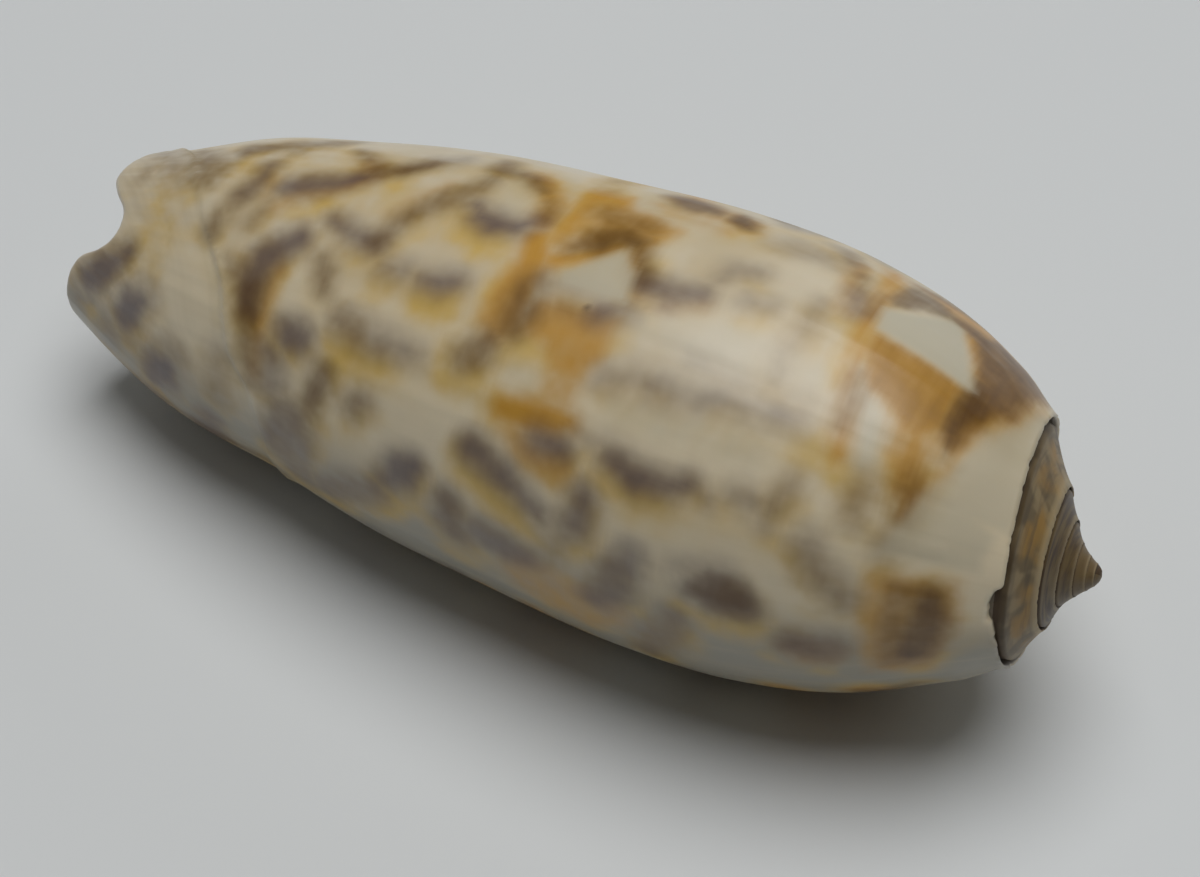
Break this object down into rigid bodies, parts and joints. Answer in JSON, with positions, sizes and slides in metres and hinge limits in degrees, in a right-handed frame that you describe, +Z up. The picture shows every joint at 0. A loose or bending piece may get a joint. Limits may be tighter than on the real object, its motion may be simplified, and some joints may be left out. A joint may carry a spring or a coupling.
{
  "type": "olive shell",
  "caption": "Long glossy olive sea shell, a short coiled spire at one end and a narrow mouth slit open to the front along the underside. Lies on its mouth as decor.",
  "frame": {"origin": "on the surface the shell lies on, under the middle of its bounding box", "axes": "+X along the coiling axis towards the tip of the spire, -X the open front end, +Y the far side with the lip's edge below it, +Z up with the mouth facing down"},
  "size_m": [0.0736, 0.0298, 0.0282],
  "materials": {
    "shell_glaze": "natural shell porcelain: smooth, glossy, cream with olive-grey, violet and ochre blotches"
  },
  "bodies": {
    "root": {"shell": "shell_glaze"}
  },
  "joints": []
}
